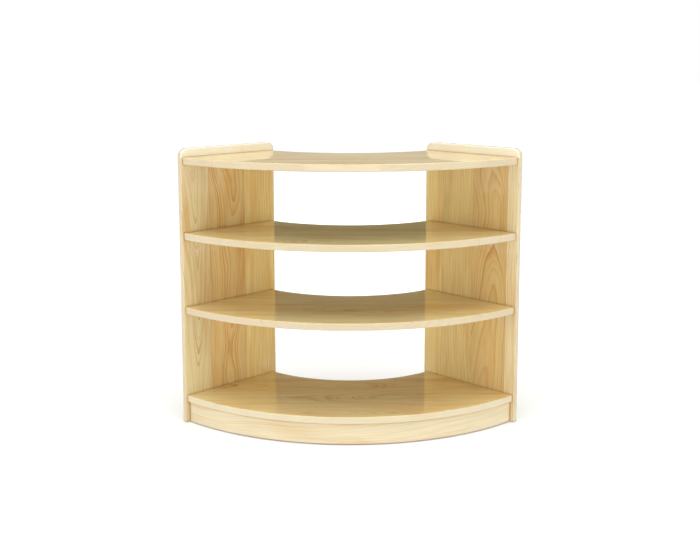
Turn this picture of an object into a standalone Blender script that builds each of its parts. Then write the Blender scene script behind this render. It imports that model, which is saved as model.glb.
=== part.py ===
"""Curved open shelving unit: a quarter-ring of four fixed shelves between two side panels.

The shelves are ring sectors cut from lacquered pine board. Each shelf end butts against a side
panel and is drawn up by two cam connectors and steadied by one dowel. Two curved plinth rails
stand under the bottom shelf on dowels, and nail-on glides carry the side panels.

Metres, +Z up. The outer, convex side faces -Y. The origin is at the middle of the unit's
bounding box, on the floor.
"""

import math

import bmesh
import bpy
from mathutils import Matrix, Vector

# Overall form
SECTOR_ANGLE = math.radians(90.0)  # between the outer faces of the two side panels
SHELF_OUTER_RADIUS = 0.600
SHELF_DEPTH = 0.290
SHELF_THICKNESS = 0.018
PANEL_THICKNESS = 0.015
PANEL_FRONT_REVEAL = 0.005  # how far a side panel stands out past the shelves' front edges
PANEL_BACK_REVEAL = 0.008

# Heights, from the floor up
GLIDE_HEIGHT = 0.002
PLINTH_HEIGHT = 0.052
TALL_OPENING = 0.212  # clear height over the bottom shelf
OPENING = 0.171  # clear height of each of the two bays above it
LIP_HEIGHT = 0.022  # how far the side panels rise above the top shelf

# Plinth rails
PLINTH_THICKNESS = 0.015
PLINTH_FRONT_RECESS = 0.006  # behind the shelf edge above it
PLINTH_BACK_RECESS = 0.006

# Edges
PANEL_CORNER_RADIUS = 0.020
PANEL_EDGE_RADIUS = 0.003
SHELF_EDGE_RADIUS = 0.0025
PLINTH_EDGE_RADIUS = 0.0015

# Cam connectors
CAM_RADIUS = 0.0072
CAM_INSET = 0.050  # from each end of a shelf's seat to the nearest connector
CAM_DISTANCE = 0.024  # from the shelf's end to the cam's centre
CAM_SKIN = 0.0045  # board left above the cam's pocket
CAM_FLOOR = 0.0045  # thickness of the cam's driven face
CAM_RECESS = 0.0003  # how far the cam sits below the board's face
CAM_CROSS_LENGTH = 0.008
CAM_CROSS_WIDTH = 0.0018
CAM_CROSS_DEPTH = 0.0024
CAM_SLOT_ANGLE = math.radians(120.0)  # how far the cam turns from open to locked
BOLT_THREAD_RADIUS = 0.0025
BOLT_THREAD_LENGTH = 0.011
BOLT_TIP_LENGTH = 0.0015
BOLT_COLLAR_RADIUS = 0.0036
BOLT_COLLAR_LENGTH = 0.0015
BOLT_NECK_RADIUS = 0.0020
BOLT_HEAD_RADIUS = 0.0034
BOLT_HEAD_LENGTH = 0.0055

# Dowels
DOWEL_RADIUS = 0.0040
DOWEL_IN_PANEL = 0.010
DOWEL_IN_SHELF = 0.020
DOWEL_CHAMFER = 0.0010
RAIL_DOWEL_RADIUS = 0.0030
RAIL_DOWEL_IN_RAIL = 0.020
RAIL_DOWEL_INSET = 0.012  # from a plinth rail's top and bottom edges

# Glides
GLIDE_RADIUS = 0.0060
GLIDE_INSET = 0.045  # from a side panel's front and back edges
GLIDE_NAIL_RADIUS = 0.0010
GLIDE_NAIL_LENGTH = 0.014

# Fits
SEAT_GAP = 0.0003  # between two pieces that touch
OVERCUT = 0.004  # how far a cutter runs past the face that it opens

# Mesh fineness
ARC_STEPS = 36
CORNER_STEPS = 5
ROUND_STEPS = 2
CAM_SLOT_STEPS = 4
CAM_SIDES = 16
BOLT_SIDES = 10
DOWEL_SIDES = 12
GLIDE_SIDES = 12

# What follows from the sizes above
HALF_ANGLE = SECTOR_ANGLE / 2
SHELF_INNER_RADIUS = SHELF_OUTER_RADIUS - SHELF_DEPTH
PANEL_FRONT = SHELF_OUTER_RADIUS + PANEL_FRONT_REVEAL  # distances from the ring's centre,
PANEL_BACK = SHELF_INNER_RADIUS - PANEL_BACK_REVEAL  # along a side panel
PANEL_BOTTOM = GLIDE_HEIGHT + SEAT_GAP
INNER_FACE = -PANEL_THICKNESS  # offsets from a panel's outer face, + away from the shelves
SHELF_END = INNER_FACE - SEAT_GAP
CONNECTOR_FRONT = SHELF_OUTER_RADIUS - CAM_INSET
CONNECTOR_BACK = SHELF_INNER_RADIUS + CAM_INSET
DOWEL_PLACE = (CONNECTOR_FRONT + CONNECTOR_BACK) / 2
BOTTOM_SHELF_UNDERSIDE = PANEL_BOTTOM + PLINTH_HEIGHT
SHELF_UNDERSIDES = {
    "bottom_shelf": BOTTOM_SHELF_UNDERSIDE,
    "lower_shelf": BOTTOM_SHELF_UNDERSIDE + SHELF_THICKNESS + TALL_OPENING,
    "upper_shelf": BOTTOM_SHELF_UNDERSIDE + 2 * SHELF_THICKNESS + TALL_OPENING + OPENING,
    "top_shelf": BOTTOM_SHELF_UNDERSIDE + 3 * SHELF_THICKNESS + TALL_OPENING + 2 * OPENING,
}
PANEL_TOP = SHELF_UNDERSIDES["top_shelf"] + SHELF_THICKNESS + LIP_HEIGHT
RAIL_RADII = {  # inner and outer radius of each plinth rail
    "front_plinth": (
        SHELF_OUTER_RADIUS - PLINTH_FRONT_RECESS - PLINTH_THICKNESS,
        SHELF_OUTER_RADIUS - PLINTH_FRONT_RECESS,
    ),
    "rear_plinth": (
        SHELF_INNER_RADIUS + PLINTH_BACK_RECESS,
        SHELF_INNER_RADIUS + PLINTH_BACK_RECESS + PLINTH_THICKNESS,
    ),
}
RAIL_DOWEL_HEIGHTS = {
    "low": PANEL_BOTTOM + RAIL_DOWEL_INSET,
    "high": PANEL_BOTTOM + PLINTH_HEIGHT - SEAT_GAP - RAIL_DOWEL_INSET,
}
# The ring's centre lies behind the origin, which is midway between the front of the shelves and
# the rearmost point of the side panels' rounded back edges.
BACK_OF_PANELS = (PANEL_BACK + PANEL_EDGE_RADIUS) * math.cos(HALF_ANGLE) + PANEL_EDGE_RADIUS * (
    math.sin(HALF_ANGLE) - 1
)
RING_CENTRE_Y = (SHELF_OUTER_RADIUS + BACK_OF_PANELS) / 2

SIDES = {"left": -1, "right": 1}

# Colours, linear RGB
PINE = (0.80, 0.60, 0.35)
PINE_EDGE = (0.85, 0.68, 0.44)
BEECH = (0.68, 0.47, 0.28)
ZINC = (0.55, 0.55, 0.56)
STEEL = (0.60, 0.58, 0.52)
NYLON = (0.80, 0.79, 0.74)


def clear_scene():
    """Removes what the startup scene holds."""
    for obj in list(bpy.data.objects):
        bpy.data.objects.remove(obj)


def new_collection(name, parent=None):
    collection = bpy.data.collections.new(name)
    (parent or bpy.context.scene.collection).children.link(collection)
    return collection


def material(name, colour, roughness, metallic=0.0):
    made = bpy.data.materials.new(name)
    made.use_nodes = True
    shader = made.node_tree.nodes["Principled BSDF"]
    shader.inputs["Base Color"].default_value = (*colour, 1.0)
    shader.inputs["Roughness"].default_value = roughness
    shader.inputs["Metallic"].default_value = metallic
    return made


def object_from_bmesh(name, bm, collection):
    """A mesh object from bm, with its faces turned outwards."""
    bmesh.ops.recalc_face_normals(bm, faces=bm.faces[:])
    mesh = bpy.data.meshes.new(name)
    bm.to_mesh(mesh)
    bm.free()
    obj = bpy.data.objects.new(name, mesh)
    collection.objects.link(obj)
    return obj


def evaluated_bmesh(obj):
    """What obj's modifiers make, as a new bmesh. The object is then removed."""
    graph = bpy.context.evaluated_depsgraph_get()
    mesh = bpy.data.meshes.new_from_object(obj.evaluated_get(graph))
    bm = bmesh.new()
    bm.from_mesh(mesh)
    bpy.data.objects.remove(obj)
    bpy.data.meshes.remove(mesh)
    return bm


def shade(obj, angle=30.0):
    obj.data.shade_smooth()
    obj.data.set_sharp_from_angle(angle=math.radians(angle))


def side_frame(name, side, collection):
    """An empty at the ring's centre that is turned so that its +X runs out along a side panel."""
    empty = bpy.data.objects.new(name, None)
    collection.objects.link(empty)
    empty.location = (0, RING_CENTRE_Y, 0)
    empty.rotation_euler = (0, 0, side * HALF_ANGLE - math.pi / 2)
    return empty


def place(obj, frame, side, along, outward, z, turned=False):
    """Parents obj to a side frame. along runs out from the ring's centre, and outward is the
    offset from the panel's outer face, away from the shelves. A turned object has its +X axis
    square to the panel, pointing in towards the shelves."""
    obj.parent = frame
    obj.location = (along, side * outward, z)
    obj.rotation_euler = (0, 0, -side * math.pi / 2 if turned else 0)


def cylinder(name, radius, length, sides, collection, along_x=True):
    """A cylinder from the object's origin along +X, or along +Z."""
    bm = bmesh.new()
    bmesh.ops.create_cone(
        bm, cap_ends=True, segments=sides, radius1=radius, radius2=radius, depth=length
    )
    bmesh.ops.translate(bm, verts=bm.verts, vec=(0, 0, length / 2))
    if along_x:
        bmesh.ops.rotate(bm, verts=bm.verts, matrix=Matrix.Rotation(math.pi / 2, 3, "Y"))
    return object_from_bmesh(name, bm, collection)


def turned_solid(name, profile, sides, collection):
    """A solid of revolution about X from (x, radius) points, the first and last on the axis."""
    bm = bmesh.new()
    points = [bm.verts.new((x, radius, 0)) for x, radius in profile]
    for first, second in zip(points, points[1:]):
        bm.edges.new((first, second))
    mesh = bpy.data.meshes.new(name)
    bm.to_mesh(mesh)
    bm.free()
    guide = bpy.data.objects.new(name + "_profile", mesh)
    collection.objects.link(guide)
    screw = guide.modifiers.new("Turn", "SCREW")
    screw.axis = "X"
    screw.steps = screw.render_steps = sides
    screw.use_merge_vertices = True
    screw.merge_threshold = 0.00001
    bm = evaluated_bmesh(guide)
    bmesh.ops.remove_doubles(bm, verts=bm.verts, dist=0.00001)
    return object_from_bmesh(name, bm, collection)


def rounded_section(width, height, radius):
    """The outline of a rectangle with rounded corners, centred on the origin, as (x, z)."""
    points = []
    for corner, (x_sign, z_sign) in enumerate([(1, 1), (-1, 1), (-1, -1), (1, -1)]):
        centre_x = x_sign * (width / 2 - radius)
        centre_z = z_sign * (height / 2 - radius)
        for step in range(ROUND_STEPS + 1):
            angle = math.pi / 2 * (corner + step / ROUND_STEPS)
            points.append((centre_x + radius * math.cos(angle), centre_z + radius * math.sin(angle)))
    return points


def curved_board(name, inner_radius, outer_radius, underside, height, edge_radius, collection):
    """A board bent or cut to the ring, with rounded long edges and ends flat on the panels."""
    section = rounded_section(outer_radius - inner_radius, height, edge_radius)
    middle_radius = (inner_radius + outer_radius) / 2
    middle_height = underside + height / 2
    bm = bmesh.new()
    overrun = math.radians(3.0)  # past the panels' outer faces, cut off again below
    start = Matrix.Rotation(-math.pi / 2 - HALF_ANGLE - overrun, 3, "Z")
    loop = [
        bm.verts.new(start @ Vector((middle_radius + x, 0, middle_height + z))) for x, z in section
    ]
    for first, second in zip(loop, loop[1:] + loop[:1]):
        bm.edges.new((first, second))
    mesh = bpy.data.meshes.new(name)
    bm.to_mesh(mesh)
    bm.free()
    guide = bpy.data.objects.new(name + "_section", mesh)
    collection.objects.link(guide)
    sweep = guide.modifiers.new("Sweep", "SCREW")
    sweep.angle = SECTOR_ANGLE + 2 * overrun
    sweep.steps = sweep.render_steps = ARC_STEPS
    bm = evaluated_bmesh(guide)
    for side in SIDES.values():
        outward = Vector((side * math.cos(HALF_ANGLE), math.sin(HALF_ANGLE), 0))
        cut = bmesh.ops.bisect_plane(
            bm,
            geom=bm.verts[:] + bm.edges[:] + bm.faces[:],
            plane_co=outward * SHELF_END,
            plane_no=outward,
            clear_outer=True,
        )
        rim = [item for item in cut["geom_cut"] if isinstance(item, bmesh.types.BMEdge)]
        bmesh.ops.edgeloop_fill(bm, edges=rim)
    bmesh.ops.remove_doubles(bm, verts=bm.verts, dist=0.00001)
    board = object_from_bmesh(name, bm, collection)
    board.location = (0, RING_CENTRE_Y, 0)
    return board


def panel_outline():
    """A side panel's outline as (along, z): square at the floor, rounded at both top corners."""
    points = [(PANEL_BACK, PANEL_BOTTOM), (PANEL_FRONT, PANEL_BOTTOM)]
    for centre, first_angle in (
        (PANEL_FRONT - PANEL_CORNER_RADIUS, 0.0),
        (PANEL_BACK + PANEL_CORNER_RADIUS, math.pi / 2),
    ):
        for step in range(CORNER_STEPS + 1):
            angle = first_angle + math.pi / 2 * step / CORNER_STEPS
            points.append(
                (
                    centre + PANEL_CORNER_RADIUS * math.cos(angle),
                    PANEL_TOP - PANEL_CORNER_RADIUS + PANEL_CORNER_RADIUS * math.sin(angle),
                )
            )
    return points


def side_panel(name, side, frame, collection):
    """A flat board from its outline, with every edge rounded over."""
    curve = bpy.data.curves.new(name, "CURVE")
    curve.dimensions = "2D"
    curve.fill_mode = "BOTH"
    curve.extrude = PANEL_THICKNESS / 2 - PANEL_EDGE_RADIUS
    curve.bevel_depth = PANEL_EDGE_RADIUS
    curve.bevel_resolution = ROUND_STEPS - 1
    curve.offset = -PANEL_EDGE_RADIUS
    spline = curve.splines.new("POLY")
    outline = panel_outline()
    spline.points.add(len(outline) - 1)
    for point, (along, z) in zip(spline.points, outline):
        point.co = (along, z, 0, 1)
    spline.use_cyclic_u = True
    guide = bpy.data.objects.new(name + "_outline", curve)
    collection.objects.link(guide)
    bm = evaluated_bmesh(guide)
    bpy.data.curves.remove(curve)
    bmesh.ops.remove_doubles(bm, verts=bm.verts, dist=0.00001)
    bmesh.ops.rotate(bm, verts=bm.verts, matrix=Matrix.Rotation(math.pi / 2, 3, "X"))
    bmesh.ops.translate(bm, verts=bm.verts, vec=(0, side * INNER_FACE / 2, 0))
    panel = object_from_bmesh(name, bm, collection)
    place(panel, frame, side, 0, 0, 0)
    return panel


def cut_with(board, cutters):
    """Cuts every object of a collection from a board."""
    holes = board.modifiers.new("Holes", "BOOLEAN")
    holes.operation = "DIFFERENCE"
    holes.solver = "EXACT"
    holes.operand_type = "COLLECTION"
    holes.collection = cutters
    for cutter in cutters.objects:
        cutter.hide_render = True
        cutter.display_type = "WIRE"


def cam_height():
    return SHELF_THICKNESS - CAM_SKIN - SEAT_GAP - CAM_RECESS


def cam_mesh(collection, cutters):
    """A cam: a cup whose slotted wall traps the bolt's head. Its origin is on its axis at its
    driven face, and the bolt comes in along -X."""
    cam = cylinder("cam", CAM_RADIUS, cam_height(), CAM_SIDES, collection, along_x=False)
    axis_height = SHELF_THICKNESS / 2 - CAM_RECESS  # of the bolt, above the driven face
    wall_top = cam_height() + OVERCUT
    hollow = cylinder(
        "cam_hollow",
        BOLT_HEAD_RADIUS + 2 * SEAT_GAP,
        wall_top - CAM_FLOOR,
        BOLT_SIDES,
        cutters,
        along_x=False,
    )
    hollow.location = (0, 0, CAM_FLOOR)
    # the slot that the neck runs in as the cam turns, and the wide mouth at its open end
    slot = bmesh.new()
    slot_half = BOLT_NECK_RADIUS + 2 * SEAT_GAP
    slot_floor = axis_height - slot_half
    reach = CAM_RADIUS + OVERCUT
    lead = math.asin(slot_half / reach)
    rim = [slot.verts.new((0, 0, slot_floor)), slot.verts.new((0, slot_half, slot_floor))]
    for step in range(CAM_SLOT_STEPS + 1):
        angle = math.pi - lead + (CAM_SLOT_ANGLE + lead) * step / CAM_SLOT_STEPS
        rim.append(
            slot.verts.new((reach * math.cos(angle), reach * math.sin(angle), slot_floor))
        )
    face = slot.faces.new(rim)
    raised = bmesh.ops.extrude_face_region(slot, geom=[face])
    bmesh.ops.translate(
        slot,
        verts=[v for v in raised["geom"] if isinstance(v, bmesh.types.BMVert)],
        vec=(0, 0, 2 * slot_half),
    )
    object_from_bmesh("cam_slot", slot, cutters)
    mouth = cylinder(
        "cam_mouth", BOLT_HEAD_RADIUS + 2 * SEAT_GAP, reach, BOLT_SIDES, cutters
    )
    mouth.location = (0, 0, axis_height)
    mouth.rotation_euler = (0, 0, math.pi + CAM_SLOT_ANGLE)
    for turn in (0, math.pi / 2):
        arm = bmesh.new()
        bmesh.ops.create_cube(arm, size=1.0)
        bmesh.ops.scale(arm, verts=arm.verts, vec=(CAM_CROSS_LENGTH, CAM_CROSS_WIDTH, 2 * CAM_CROSS_DEPTH))
        bmesh.ops.rotate(arm, verts=arm.verts, matrix=Matrix.Rotation(turn, 3, "Z"))
        object_from_bmesh("cam_cross", arm, cutters)
    bpy.context.view_layer.update()
    cut_with(cam, cutters)
    bm = evaluated_bmesh(cam)
    made = object_from_bmesh("cam", bm, collection)
    shade(made)
    mesh = made.data
    bpy.data.objects.remove(made)
    return mesh


def bolt_mesh(collection):
    """A cam bolt along +X from the panel's inner face, with its thread in the panel."""
    head_centre = SEAT_GAP + CAM_DISTANCE
    head_start = head_centre - BOLT_HEAD_LENGTH / 2
    head_end = head_centre + BOLT_HEAD_LENGTH / 2
    collar_end = SEAT_GAP + BOLT_COLLAR_LENGTH
    head_round = BOLT_HEAD_RADIUS / 3
    profile = [
        (-BOLT_THREAD_LENGTH, 0),
        (-BOLT_THREAD_LENGTH + BOLT_TIP_LENGTH, BOLT_THREAD_RADIUS),
        (SEAT_GAP, BOLT_THREAD_RADIUS),
        (SEAT_GAP, BOLT_COLLAR_RADIUS),
        (collar_end, BOLT_COLLAR_RADIUS),
        (collar_end, BOLT_NECK_RADIUS),
        (head_start, BOLT_NECK_RADIUS),
        (head_start + head_round, BOLT_HEAD_RADIUS),
        (head_end - head_round, BOLT_HEAD_RADIUS),
        (head_end, BOLT_NECK_RADIUS),
        (head_end, 0),
    ]
    bolt = turned_solid("bolt", profile, BOLT_SIDES, collection)
    shade(bolt)
    mesh = bolt.data
    bpy.data.objects.remove(bolt)
    return mesh


def dowel_mesh(name, radius, in_panel, in_board, collection):
    """A dowel along +X from the panel's inner face, with both ends chamfered."""
    profile = [
        (-in_panel, 0),
        (-in_panel, radius - DOWEL_CHAMFER),
        (-in_panel + DOWEL_CHAMFER, radius),
        (in_board - DOWEL_CHAMFER, radius),
        (in_board, radius - DOWEL_CHAMFER),
        (in_board, 0),
    ]
    dowel = turned_solid(name, profile, DOWEL_SIDES, collection)
    shade(dowel)
    mesh = dowel.data
    bpy.data.objects.remove(dowel)
    return mesh


def glide_mesh(collection):
    """A nail-on glide along +X, nail first: a round pad with the nail moulded into it."""
    nail_tip = GLIDE_NAIL_RADIUS
    pad_chamfer = GLIDE_HEIGHT / 3
    profile = [
        (-GLIDE_HEIGHT, 0),
        (-GLIDE_HEIGHT, GLIDE_RADIUS - pad_chamfer),
        (-GLIDE_HEIGHT + pad_chamfer, GLIDE_RADIUS),
        (0, GLIDE_RADIUS),
        (0, GLIDE_NAIL_RADIUS),
        (GLIDE_NAIL_LENGTH - nail_tip, GLIDE_NAIL_RADIUS),
        (GLIDE_NAIL_LENGTH, 0),
    ]
    glide = turned_solid("glide", profile, GLIDE_SIDES, collection)
    shade(glide)
    mesh = glide.data
    bpy.data.objects.remove(glide)
    return mesh


def instance(name, mesh, finish, collection):
    """A named object on a mesh that several share."""
    if not mesh.materials:
        mesh.materials.append(finish)
    obj = bpy.data.objects.new(name, mesh)
    collection.objects.link(obj)
    return obj


def bore(name, radius, depth, sides, from_face, frame, side, along, z, cutters):
    """A cutter square to a panel, from OVERCUT outside the face at from_face, in towards the
    shelves for a positive depth and out into the panel for a negative one."""
    into_shelf = depth > 0
    length = abs(depth) + OVERCUT
    cutter = cylinder(name, radius, length, sides, cutters)
    start = from_face + OVERCUT if into_shelf else from_face - depth
    place(cutter, frame, side, along, start, z, turned=True)
    return cutter


def build():
    clear_scene()
    unit = new_collection("curved_shelving_unit")
    cutter_root = new_collection("cutters")

    pine = material("lacquered_pine", PINE, 0.25)
    pine_edge = material("lacquered_pine_rail", PINE_EDGE, 0.3)
    beech = material("beech_dowel", BEECH, 0.6)
    zinc = material("zinc_alloy", ZINC, 0.35, 1.0)
    steel = material("zinc_plated_steel", STEEL, 0.3, 1.0)
    nylon = material("white_nylon", NYLON, 0.45)

    boards = {}
    holes = {}

    def add_board(name, board, finish):
        board.data.materials.append(finish)
        boards[name] = board
        holes[name] = new_collection(name + "_cutters", cutter_root)

    for name, underside in SHELF_UNDERSIDES.items():
        shelf = curved_board(
            name,
            SHELF_INNER_RADIUS,
            SHELF_OUTER_RADIUS,
            underside,
            SHELF_THICKNESS,
            SHELF_EDGE_RADIUS,
            unit,
        )
        add_board(name, shelf, pine)
    for name, (inner, outer) in RAIL_RADII.items():
        rail = curved_board(
            name,
            inner,
            outer,
            PANEL_BOTTOM,
            PLINTH_HEIGHT - SEAT_GAP,
            PLINTH_EDGE_RADIUS,
            unit,
        )
        add_board(name, rail, pine_edge)

    cam_parts = new_collection("cam_cutters", cutter_root)
    cam_shape = cam_mesh(unit, cam_parts)
    bolt_shape = bolt_mesh(unit)
    dowel_shape = dowel_mesh("dowel", DOWEL_RADIUS, DOWEL_IN_PANEL, DOWEL_IN_SHELF, unit)
    rail_dowel_shape = dowel_mesh(
        "rail_dowel", RAIL_DOWEL_RADIUS, DOWEL_IN_PANEL, RAIL_DOWEL_IN_RAIL, unit
    )
    glide_shape = glide_mesh(unit)

    for side_name, side in SIDES.items():
        frame = side_frame(side_name + "_side", side, unit)
        panel_name = "side_panel_" + side_name
        add_board(panel_name, side_panel(panel_name, side, frame, unit), pine)
        panel_holes = holes[panel_name]

        for shelf_name, underside in SHELF_UNDERSIDES.items():
            middle = underside + SHELF_THICKNESS / 2
            shelf_holes = holes[shelf_name]
            short_name = shelf_name.replace("_shelf", "")
            for place_name, along in (("front", CONNECTOR_FRONT), ("back", CONNECTOR_BACK)):
                tag = f"{short_name}_{side_name}_{place_name}"
                bolt = instance("cam_bolt_" + tag, bolt_shape, steel, unit)
                place(bolt, frame, side, along, INNER_FACE, middle, turned=True)
                cam = instance("cam_" + tag, cam_shape, zinc, unit)
                cam_offset = SHELF_END - CAM_DISTANCE
                place(cam, frame, side, along, cam_offset, underside + CAM_RECESS, turned=True)
                bore(
                    "thread_hole",
                    BOLT_THREAD_RADIUS + SEAT_GAP,
                    -(BOLT_THREAD_LENGTH + SEAT_GAP),
                    BOLT_SIDES,
                    INNER_FACE,
                    frame,
                    side,
                    along,
                    middle,
                    panel_holes,
                )
                bore(
                    "bolt_hole",
                    BOLT_COLLAR_RADIUS + SEAT_GAP,
                    CAM_DISTANCE + BOLT_HEAD_LENGTH / 2 + SEAT_GAP,
                    BOLT_SIDES,
                    SHELF_END,
                    frame,
                    side,
                    along,
                    middle,
                    shelf_holes,
                )
                pocket = cylinder(
                    "cam_pocket",
                    CAM_RADIUS + SEAT_GAP,
                    SHELF_THICKNESS - CAM_SKIN + OVERCUT,
                    CAM_SIDES,
                    shelf_holes,
                    along_x=False,
                )
                place(pocket, frame, side, along, cam_offset, underside - OVERCUT, turned=True)
            dowel = instance(f"dowel_{short_name}_{side_name}", dowel_shape, beech, unit)
            place(dowel, frame, side, DOWEL_PLACE, INNER_FACE, middle, turned=True)
            for cutters, face, depth in (
                (panel_holes, INNER_FACE, -(DOWEL_IN_PANEL + SEAT_GAP)),
                (shelf_holes, SHELF_END, DOWEL_IN_SHELF),
            ):
                bore(
                    "dowel_hole",
                    DOWEL_RADIUS + SEAT_GAP,
                    depth,
                    DOWEL_SIDES,
                    face,
                    frame,
                    side,
                    DOWEL_PLACE,
                    middle,
                    cutters,
                )

        for rail_name, (inner, outer) in RAIL_RADII.items():
            along = (inner + outer) / 2
            for level, z in RAIL_DOWEL_HEIGHTS.items():
                dowel = instance(
                    f"{rail_name}_dowel_{side_name}_{level}", rail_dowel_shape, beech, unit
                )
                place(dowel, frame, side, along, INNER_FACE, z, turned=True)
                for cutters, face, depth in (
                    (panel_holes, INNER_FACE, -(DOWEL_IN_PANEL + SEAT_GAP)),
                    (holes[rail_name], SHELF_END, RAIL_DOWEL_IN_RAIL),
                ):
                    bore(
                        "rail_dowel_hole",
                        RAIL_DOWEL_RADIUS + SEAT_GAP,
                        depth,
                        DOWEL_SIDES,
                        face,
                        frame,
                        side,
                        along,
                        z,
                        cutters,
                    )

        for place_name, along in (
            ("front", PANEL_FRONT - GLIDE_INSET),
            ("back", PANEL_BACK + GLIDE_INSET),
        ):
            glide = instance(f"glide_{side_name}_{place_name}", glide_shape, nylon, unit)
            place(glide, frame, side, along, INNER_FACE / 2, GLIDE_HEIGHT)
            glide.rotation_euler = (0, -math.pi / 2, 0)
            nail_hole = cylinder(
                "nail_hole",
                GLIDE_NAIL_RADIUS + SEAT_GAP,
                OVERCUT + GLIDE_NAIL_LENGTH + SEAT_GAP,
                GLIDE_SIDES,
                panel_holes,
            )
            place(nail_hole, frame, side, along, INNER_FACE / 2, PANEL_BOTTOM - OVERCUT)
            nail_hole.rotation_euler = (0, -math.pi / 2, 0)

    for name, board in boards.items():
        cut_with(board, holes[name])
        shade(board)


build()
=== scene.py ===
import math

import bmesh
import bpy
from mathutils import Matrix, Vector


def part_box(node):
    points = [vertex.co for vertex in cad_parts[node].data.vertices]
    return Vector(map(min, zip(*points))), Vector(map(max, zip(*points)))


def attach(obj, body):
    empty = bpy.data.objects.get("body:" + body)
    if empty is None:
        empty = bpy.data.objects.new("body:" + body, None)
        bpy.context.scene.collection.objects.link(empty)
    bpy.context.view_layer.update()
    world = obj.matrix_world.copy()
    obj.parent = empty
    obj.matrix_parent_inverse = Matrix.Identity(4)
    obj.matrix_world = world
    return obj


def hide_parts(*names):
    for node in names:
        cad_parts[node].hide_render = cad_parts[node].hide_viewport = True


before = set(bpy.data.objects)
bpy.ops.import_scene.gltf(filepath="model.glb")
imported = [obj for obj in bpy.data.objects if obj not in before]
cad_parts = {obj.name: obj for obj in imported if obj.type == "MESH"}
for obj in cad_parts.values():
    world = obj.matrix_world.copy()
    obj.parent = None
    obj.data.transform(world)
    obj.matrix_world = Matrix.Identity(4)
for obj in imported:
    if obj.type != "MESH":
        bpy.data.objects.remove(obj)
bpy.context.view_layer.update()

# The looks of a curved open shelving unit: ring-sector shelves and bent plinth rails of
# edge-glued, clear-lacquered pine between two side panels, held by hidden cam fittings. Lengths
# are in metres unless a name says otherwise.

MM = 0.001

# The form, as the solids have it
HALF_ANGLE = math.radians(45.0)  # from the unit's middle to a side panel's outer face
SHELF_OUTER_RADIUS = 600 * MM
SHELF_INNER_RADIUS = 310 * MM
SHELF_EDGE_RADIUS = 2.5 * MM
PANEL_THICKNESS = 15 * MM
PANEL_FRONT = 605 * MM  # distances from the ring's centre, along a side panel
PANEL_BACK = 302 * MM
PANEL_CORNER_RADIUS = 20 * MM
PANEL_EDGE_RADIUS = 3 * MM
PLINTH_THICKNESS = 15 * MM
PLINTH_RECESS = 6 * MM
PLINTH_EDGE_RADIUS = 1.5 * MM
SHELF_END = PANEL_THICKNESS + 0.3 * MM  # from a panel's outer face
END_EASE = 0.8 * MM  # the arris sanded off a board's ends

SIDES = {"left": -1, "right": 1}
RING_CENTRE = Vector((0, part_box("top_shelf")[0][1] + SHELF_OUTER_RADIUS, 0))
PLINTHS = {  # inner and outer radius
    "front_plinth": (
        SHELF_OUTER_RADIUS - PLINTH_RECESS - PLINTH_THICKNESS,
        SHELF_OUTER_RADIUS - PLINTH_RECESS,
    ),
    "rear_plinth": (
        SHELF_INNER_RADIUS + PLINTH_RECESS,
        SHELF_INNER_RADIUS + PLINTH_RECESS + PLINTH_THICKNESS,
    ),
}
SHELVES = ("top", "upper", "lower", "bottom")
UP = Vector((0, 0, 1))

# The fittings' places: along a side panel from the ring's centre, and a rail's dowels by height
CONNECTORS = {"front": 550 * MM, "back": 360 * MM}
SHELF_DOWEL = 455 * MM
RAIL_DOWELS = {"low": 14.3 * MM, "high": 42 * MM}
GLIDES = {"front": 560 * MM, "back": 347 * MM}
GLIDE_HEIGHT_MM = 2
CAM_DISTANCE = 24 * MM  # from a shelf's end to the cam's middle
CAM_RECESS = 0.3 * MM  # from the shelf's underside to the cam's driven face
CAM_FLOOR_MM = 4.5
CAM_TURN = math.radians(120.0)  # from open to locked
BOLT_HEIGHT_MM = 8.7  # above the cam's driven face
DOWEL_LENGTH_MM = 30
DOWEL_DEPTH_MM = 10  # in the side panel

# The kinds of node that are used most
MATH = "ShaderNodeMath"
VECTOR_MATH = "ShaderNodeVectorMath"
MAP_RANGE = "ShaderNodeMapRange"
SPLIT_XYZ = "ShaderNodeSeparateXYZ"
JOIN_XYZ = "ShaderNodeCombineXYZ"
COORDINATES = "ShaderNodeTexCoord"
NOISE = "ShaderNodeTexNoise"
RAMP = "ShaderNodeValToRGB"
BUMP = "ShaderNodeBump"
PRINCIPLED = "ShaderNodeBsdfPrincipled"
MATERIAL_OUTPUT = "ShaderNodeOutputMaterial"
MIX = "ShaderNodeMix"
FACTOR, FIRST, SECOND = 0, 6, 7  # the inputs of a Mix node that mixes colours


def along_panel(side):
    """The direction from the ring's centre to a side panel's front edge."""
    return Vector((side * math.sin(HALF_ANGLE), -math.cos(HALF_ANGLE), 0))


def inward(side):
    """The direction square to a side panel, towards the shelves."""
    return Vector((-side * math.cos(HALF_ANGLE), -math.sin(HALF_ANGLE), 0))


def linear(hex_code):
    """The linear RGBA of an sRGB hex colour."""
    channels = [int(hex_code[i : i + 2], 16) / 255 for i in (1, 3, 5)]
    return (*(c / 12.92 if c <= 0.04045 else ((c + 0.055) / 1.055) ** 2.4 for c in channels), 1.0)


def grey(level):
    return (level, level, level, 1.0)


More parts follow.
